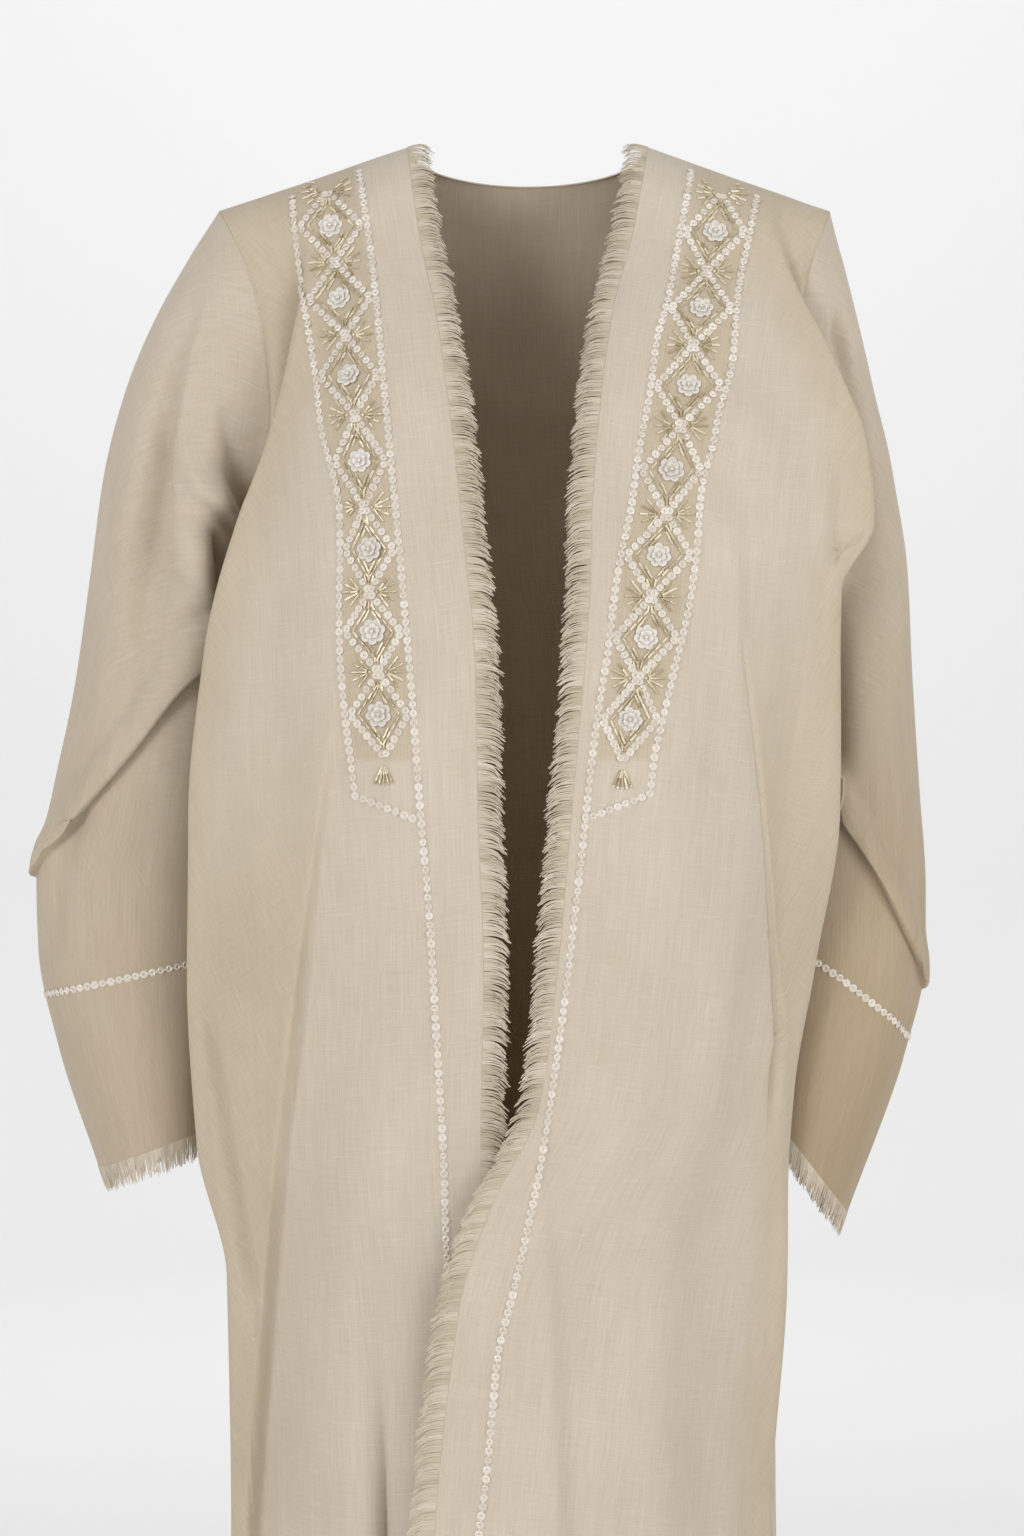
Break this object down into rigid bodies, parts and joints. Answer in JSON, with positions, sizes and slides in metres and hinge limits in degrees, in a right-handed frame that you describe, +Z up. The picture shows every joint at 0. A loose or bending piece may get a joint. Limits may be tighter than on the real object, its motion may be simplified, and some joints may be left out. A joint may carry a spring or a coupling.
{
  "type": "abaya cloak",
  "caption": "Floor-length open-front linen abaya as worn, fronts hanging open and lapping below the waist, long sleeves, raw fringed front edges and cuffs, beaded chest bands.",
  "frame": {"origin": "midway between the two neck points, where the shoulder seams start, at their height: where the wearer's shoulders hold the cloak", "axes": "+Z up the wearer's body, -Y the way the wearer faces (the open front), +X towards the wearer's left"},
  "size_m": [0.5567, 0.3417, 1.3616],
  "materials": {
    "sand_linen": "matt plain-woven slub linen, sand beige",
    "frayed_linen": "frayed threads of the same linen"
  },
  "bodies": {
    "root": {"front_right": "sand_linen", "front_left": "sand_linen", "back": "sand_linen", "sleeve_right": "sand_linen", "sleeve_left": "sand_linen", "front_fringe_right": "frayed_linen", "front_fringe_left": "frayed_linen", "cuff_fringe_right": "frayed_linen", "cuff_fringe_left": "frayed_linen"}
  },
  "joints": []
}
